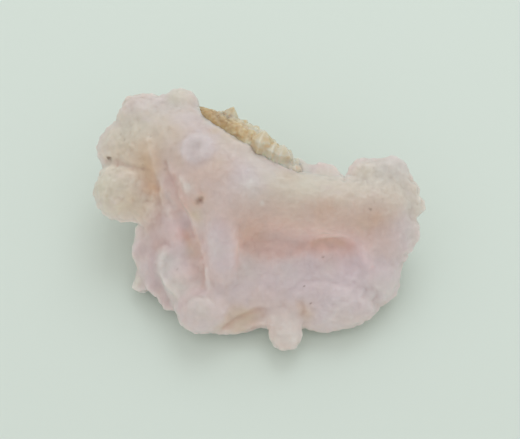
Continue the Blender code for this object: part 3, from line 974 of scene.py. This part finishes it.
def bed_place(across, up):
    """A place on the bed: its half-axes times the spherical coordinates of the two angles, in radians,
    laid along its turned axes."""
    ball = [np.cos(up) * np.sin(across), np.cos(up) * np.cos(across), np.sin(up) + 0 * across]
    return (np.stack(ball, -1).reshape(-1, 3) * BED_RADII) @ BED_AXES + BED_MIDDLE


def out_of_bed(places):
    """The way straight out of the bed: along the bed's axes, the offset from its middle over the squares
    of its half-axes."""
    out = ((places - BED_MIDDLE) @ BED_AXES.T / BED_RADII**2) @ BED_AXES
    return out / np.linalg.norm(out, axis=1, keepdims=True)


def grid_faces(rows, columns):
    """The four corners of each face of a grid whose columns close into a ring."""
    r, c = np.meshgrid(np.arange(rows - 1), np.arange(columns), indexing="ij")
    n = (c + 1) % columns
    faces = np.stack([r * columns + c, r * columns + n, (r + 1) * columns + n, (r + 1) * columns + c], -1)
    return faces.reshape(-1, 4)


ROWS, COLUMNS = 60, 120
up_angle, across_angle = np.meshgrid(
    np.linspace(-math.pi / 2, math.pi / 2, ROWS)[1:-1],
    np.linspace(0, 2 * math.pi, COLUMNS, endpoint=False),
    indexing="ij",
)
bed = bed_place(across_angle, up_angle)
# A point at its foot and one at its top close the grid.
bed = np.concatenate([bed, BED_MIDDLE + [(0, 0, -BED_RADII[2])], BED_MIDDLE + [(0, 0, BED_RADII[2])]])
bed_faces = grid_faces(ROWS - 2, COLUMNS).tolist()
foot, top = len(bed) - 2, len(bed) - 1
ring = np.arange(COLUMNS)
last = (ROWS - 3) * COLUMNS
bed_faces += np.stack([0 * ring + foot, (ring + 1) % COLUMNS, ring], 1).tolist()
bed_faces += np.stack([0 * ring + top, last + ring, last + (ring + 1) % COLUMNS], 1).tolist()
bed_tree = BVHTree.FromPolygons(bed.tolist(), bed_faces)

# The bed is lumpy, and stands highest along the ridge, where it meets the chalcedony: strength,
# half-width and places.
BED_LIP = [
    (
        1.0,
        1.3,
        [
            (-10.0, 19.3), (-8.5, 17.8), (-6.7, 16.1), (-4.4, 14.3), (-2.2, 12.8), (0.0, 11.5),
            (2.2, 10.4), (4.4, 9.3),
        ],
    ),
]
lumps = 0.5 * beads(bed, 1.8, 21) - 0.35
bed = bed + (lumps + streaks(bed, bed_tree, BED_LIP))[:, None] * out_of_bed(bed)

# A slanting way, from which each crystal's first side is turned.
SLANT = (0.31, 0.17, 0.93)


def crystals(seats, aims, radii, shafts, tips, spins, lopsided):
    """Closed six-sided crystals, each a ring of six at its root, a ring of six at its shoulder and one
    tip: seat + height * aim + radius * (cosine, sine) of sixths of a turn in the plane across the aim.
    lopsided holds eight numbers about 0 for each crystal: how much longer each of its six spokes is than
    the radius, and how far to two sides its tip leans, all as shares of the radius."""
    aims = aims / np.linalg.norm(aims, axis=1, keepdims=True)
    side = np.cross(aims, SLANT)
    side /= np.linalg.norm(side, axis=1, keepdims=True)
    other = np.cross(aims, side)
    angle = spins[:, None] + np.arange(6) * math.pi / 3
    spoke = np.cos(angle)[..., None] * side[:, None] + np.sin(angle)[..., None] * other[:, None]
    spoke = spoke * (1 + lopsided[:, :6, None]) * radii[:, None, None]
    root = seats[:, None] - aims[:, None] * 1.1 * radii[:, None, None] + 0.85 * spoke
    shoulder = seats[:, None] + aims[:, None] * shafts[:, None, None] + spoke
    lean = radii[:, None] * (lopsided[:, 6:7] * side + lopsided[:, 7:8] * other)
    tip = (seats + aims * (shafts + tips)[:, None] + lean)[:, None]
    points = np.concatenate([root, shoulder, tip], 1).reshape(-1, 3)
    i, j = np.arange(6), (np.arange(6) + 1) % 6
    sides = np.stack([i, j, j + 6, i + 6], 1)
    slopes = np.stack([i + 6, j + 6, 0 * i + 12], 1)
    one = [*sides.tolist(), *slopes.tolist(), [5, 4, 3, 2, 1, 0]]
    faces = [[13 * n + corner for corner in face] for n in range(len(seats)) for face in one]
    return points, faces


# The big crystals along the ridge: the place of the seat on the bed, how far the tip lies to the right
# of it and above it, the radius, and the stain from 0, clear, to 1, brown, or past it. Each tip also
# stands out by TIP_OUT radii to the display side.
TIP_OUT = 0.5
BIG_CRYSTALS = [
    ((-4.4, 18.0), (0.4, 0.7), 1.3, 0.4),
    ((-5.6, 18.9), (1.1, 2.4), 1.7, 0.0),
    ((-2.0, 17.6), (0.2, 1.1), 1.3, 0.3),
    ((-0.7, 16.9), (0.7, 0.7), 1.2, 0.35),
    ((-4.4, 16.7), (-0.6, 0.7), 1.6, 0.75),
    ((-3.1, 16.1), (0.4, 0.7), 1.5, 0.7),
    ((-5.6, 17.4), (-0.4, 0.6), 1.1, 0.9),
    ((-3.0, 14.8), (0.0, 0.6), 1.3, 0.7),
    ((0.2, 13.7), (0.7, 2.8), 2.3, 0.25),
    ((2.2, 12.4), (0.6, 1.9), 1.7, 0.2),
    ((3.5, 11.7), (0.6, 2.2), 2.2, 0.15),
    ((4.8, 11.3), (0.9, 1.7), 1.4, 0.15),
    ((1.5, 11.5), (0.0, 0.6), 1.4, 0.2),
    ((3.0, 10.6), (0.2, 0.6), 1.3, 0.25),
    ((4.3, 9.8), (0.2, 0.6), 1.2, 0.4),
    ((5.6, 9.4), (0.2, 0.7), 0.9, 0.4),
    ((-7.0, 18.5), (-0.2, 0.7), 1.1, 1.1),
    ((-8.5, 19.3), (-0.4, 0.6), 0.9, 1.3),
    ((-9.8, 20.0), (-0.2, 0.6), 0.7, 1.1),
    ((-10.9, 20.6), (-0.2, 0.6), 0.6, 0.9),
    ((-6.3, 17.6), (0.0, 0.6), 1.0, 1.1),
    ((-7.6, 17.8), (0.0, 0.4), 0.8, 1.3),
    ((-1.5, 15.6), (0.2, 0.6), 1.3, 0.55),
    ((-3.7, 18.0), (0.2, 0.7), 1.2, 0.35),
    ((-0.4, 12.6), (0.0, 0.4), 1.2, 0.5),
    ((-1.7, 13.9), (0.0, 0.4), 1.1, 0.5),
    ((-4.4, 15.4), (0.0, 0.4), 1.0, 0.6),
]

draw = np.random.default_rng(11)
big_seats = np.array([met(bed_tree, place) for place, *_ in BIG_CRYSTALS])
big_tips = np.array([tip for _, tip, _, _ in BIG_CRYSTALS])
big_radii = np.array([radius for _, _, radius, _ in BIG_CRYSTALS])
big_stain = np.array([stain for *_, stain in BIG_CRYSTALS])
big_aims = big_tips[:, :1] * VIEW_RIGHT + big_tips[:, 1:] * VIEW_UP
big_aims = big_aims + TIP_OUT * big_radii[:, None] * TO_EYE
big_reach = np.linalg.norm(big_aims, axis=1)

# Small ones grow all over the rest of the bed, on seats evenly spread over it. Where iron has seeped
# in they are finer and browner: place on the bed, radius and strength.
RUSTY = [
    ((-8.5, 19.3), 2.2, 0.95),
    ((-7.0, 18.3), 1.8, 1.0),
    ((-10.0, 20.0), 1.4, 0.9),
    ((-4.6, 15.9), 1.8, 0.6),
]
# At its right end the crust is beige and rosy.
ROSY = [
    ((4.4, 9.3), 1.0, 0.7),
    ((6.1, 9.1), 2.0, 0.9),
    ((7.4, 9.6), 2.0, 0.95),
    ((3.1, 9.4), 0.8, 0.4),
]
# The biggest tips and the crystals beside the ridge are nearly clear, and their paler grey is in part
# painted light on facets that lie in shade.
CLEAR_AND_LIT = [
    ((-4.8, 20.7), 2.0, 1.0),
    ((-0.2, 18.0), 1.3, 0.4),
    ((1.5, 15.4), 1.8, 0.6),
    ((4.6, 12.6), 2.0, 0.7),
    ((4.4, 10.6), 1.6, 0.8),
    ((-1.9, 13.7), 1.1, 0.6),
    ((-0.4, 12.8), 1.2, 0.7),
    ((1.1, 11.9), 1.3, 0.75),
    ((2.8, 10.9), 1.3, 0.8),
    ((5.9, 10.9), 1.6, 0.7),
]
# Beside the middle of the ridge light comes through the crystals.
LIT_EDGE = [
    (1.0, 1.1, [(-2.4, 13.7), (-1.1, 12.8), (0.4, 11.9), (1.9, 10.9), (3.3, 10.2)]),
]
SEEDS = 1100
SMALLEST_RADIUS = 0.5
RADIUS_SPREAD = 1.0
SHAFT_SHARE = 0.4
TIP_SHARE = 0.6
ways = spread(SEEDS)
seeds = bed_place(np.arctan2(ways[:, 0], ways[:, 2]), np.arcsin(ways[:, 1]))
rusty = dabs(seeds, bed_tree, RUSTY)
# Cubing the draw leaves most of them near the smallest radius.
small_radii = SMALLEST_RADIUS + RADIUS_SPREAD * draw.uniform(0, 1, SEEDS) ** 3
small_radii = small_radii * (1 - 0.5 * rusty)
small_stain = 0.5 + 0.5 * mottle(seeds, 4.0, 31) + draw.normal(0, 0.12, SEEDS) + 0.8 * rusty
small_stain = np.clip(small_stain, 0, 1)
small_reach = small_radii * draw.uniform(0.8, 1.4, SEEDS)
small_aims = out_of_bed(seeds) + draw.normal(0, 0.2, (SEEDS, 3))

# A crystal only grows where its tip is clear of the chalcedony: the skin's nearest point must lie
# behind it. Seeds deep in the pocket are dropped, and so are those where a big crystal stands.
TIP_ROOM = 0.25
tips_at = seeds + out_of_bed(seeds) * small_radii[:, None]
near = nearest_of(skin, tips_at)
free = ((tips_at - skin[near]) * skin_out[near]).sum(1) > TIP_ROOM
beside = nearest_of(big_seats, seeds)
apart = np.linalg.norm(seeds - big_seats[beside], axis=1)
kept = free & (apart > 0.6 * big_radii[beside] + 0.3 * small_radii)
seats = np.concatenate([seeds[kept], big_seats])
radii = np.concatenate([small_radii[kept], big_radii])
reach = np.concatenate([small_reach[kept], big_reach])
stain = np.concatenate([small_stain[kept], big_stain])
count = len(seats)
druse, druse_faces = crystals(
    seats,
    np.concatenate([small_aims[kept], big_aims]),
    radii,
    SHAFT_SHARE * reach,
    TIP_SHARE * reach,
    draw.uniform(0, math.pi / 3, count),
    draw.uniform(-0.16, 0.16, (count, 8)),
)

# Bed and crystals have grown into one, so one net is drawn over them all.
rough = bpy.data.meshes.new("rough_druse")
rough_points = np.concatenate([bed, druse]) * MM
rough_faces = bed_faces + [[corner + len(bed) for corner in face] for face in druse_faces]
rough.from_pydata(rough_points, [], rough_faces)
DRUSE_STEP = 0.145
druse, druse_faces = net_over(rough, DRUSE_STEP)
bpy.data.meshes.remove(rough)
druse = eased(druse, druse_faces, 1)
druse_out = outward(druse, druse_faces)
chips = 0.05 * mottle(druse, 0.5, 51) + 0.03 * mottle(druse, 0.3, 52)
chips += 0.35 * dabs(druse, bed_tree, RUSTY) * (beads(druse, 0.7, 53) - 0.4)
druse = druse + chips[:, None] * druse_out
druse_shares = {
    "stain": eased(stain[nearest_of(seats, druse)][:, None], druse_faces, 6)[:, 0],
    "deep": sunk(druse, druse_faces, druse_out),
    "rosy": dabs(druse, bed_tree, ROSY),
    "clear_and_lit": dabs(druse, bed_tree, CLEAR_AND_LIT),
    "lit": streaks(druse, bed_tree, LIT_EDGE),
}

ICE_CREAM = (0.79, 0.75, 0.65, 1.0)
STRAW = (0.77, 0.61, 0.38, 1.0)
HONEY = (0.55, 0.36, 0.16, 1.0)
GREY_TIP = (0.74, 0.73, 0.66, 1.0)
ICE_GREY = (0.76, 0.78, 0.72, 1.0)
BEIGE_ROSE = (0.80, 0.68, 0.60, 1.0)
quartz = Finish(
    "cream_quartz",
    {
        "IOR": 1.544,
        "Transmission Weight": 0.3,
        "Roughness": 0.22,
        "Subsurface Weight": 1.0,
        "Subsurface Radius": (1.0, 0.85, 0.7),
        "Subsurface Scale": 1.9 * MM,
    },
)
cloudy = quartz.cloud(1.1, 4.0)
stained = quartz.share("stain") + 0.6 * quartz.share("deep") + 0.5 * cloudy
quartz_tone = quartz.mix(quartz.ramp(stained, 0.1, 0.8), ICE_CREAM, STRAW)
quartz_tone = quartz.mix(quartz.ramp(stained, 0.6, 1.3), quartz_tone, HONEY)
quartz_tone = quartz.mix(quartz.ramp(0 - quartz.share("deep"), 0.2, 1.0), quartz_tone, GREY_TIP)
quartz_tone = quartz.mix(quartz.share("rosy"), quartz_tone, BEIGE_ROSE)
# The clear crystals' paler grey is in part painted light on shaded facets.
quartz_tone = quartz.mix(quartz.share("clear_and_lit"), quartz_tone, ICE_GREY)
# Light also comes through the crystals into the gaps between them and beside the ridge, and the
# colour there is raised for that.
quartz_tone = quartz.scaled(quartz_tone, 1.0 + 0.35 * quartz.ramp(quartz.share("deep"), 0.0, 1.0))
quartz_tone = quartz.scaled(quartz_tone, 1.0 + 0.5 * quartz.share("lit"))
quartz_finish = quartz.ends_in({"Base Color": quartz_tone})
druse_piece = piece("quartz_crystals", druse, druse_faces, quartz_finish, druse_shares)
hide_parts("quartz_crust")

# The pale paper that the specimen lies on, with soft light from above and behind. The paper's reach
# and the lamp's size and place are in metres.
PAPER = (0.665, 0.73, 0.68, 1.0)
PAPER_REACH = 3.0
paper_mesh = bpy.data.meshes.new("paper")
paper_mesh.from_pydata(
    [(x * PAPER_REACH, y * PAPER_REACH, 0) for x, y in ((-1, -1), (1, -1), (1, 1), (-1, 1))],
    [],
    [(0, 1, 2, 3)],
)
paper = bpy.data.objects.new("paper", paper_mesh)
bpy.context.scene.collection.objects.link(paper)
paper_mesh.materials.append(Finish("pale_paper", {"Base Color": PAPER, "Roughness": 0.9}).material)

lamp = bpy.data.lights.new("window", "AREA")
lamp.size = 0.36
lamp.energy = 0.73
lamp.color = (0.9, 1.0, 1.03)
window = bpy.data.objects.new("window", lamp)
window.location = (0.08, 0.36, 0.44)
window.rotation_euler = (-window.location).to_track_quat("-Z", "Y").to_euler()
bpy.context.scene.collection.objects.link(window)

sky = bpy.data.worlds.new("room")
sky.use_nodes = True
sky.node_tree.nodes["Background"].inputs["Color"].default_value = (0.985, 0.99, 0.96, 1.0)
sky.node_tree.nodes["Background"].inputs["Strength"].default_value = 0.835
bpy.context.scene.world = sky

# The camera looks down on the display side from 58 degrees, from where its places are seen. The lens
# sets how many millimetres lie across the image at the aim.
IMAGE_WIDTH = 520
DOTS_PER_MM = 5.4
VIEW_WIDTH = IMAGE_WIDTH / DOTS_PER_MM
eye = bpy.data.cameras.new("camera")
eye.sensor_width = 36.0
eye.lens = eye.sensor_width * SIGHT_LENGTH / VIEW_WIDTH
eye.clip_start = 0.01
camera = bpy.data.objects.new("camera", eye)
camera.location = EYE * MM
camera.rotation_euler = Vector(-TO_EYE).to_track_quat("-Z", "Y").to_euler()
bpy.context.scene.collection.objects.link(camera)
bpy.context.scene.camera = camera
bpy.context.scene.view_settings.view_transform = "Standard"
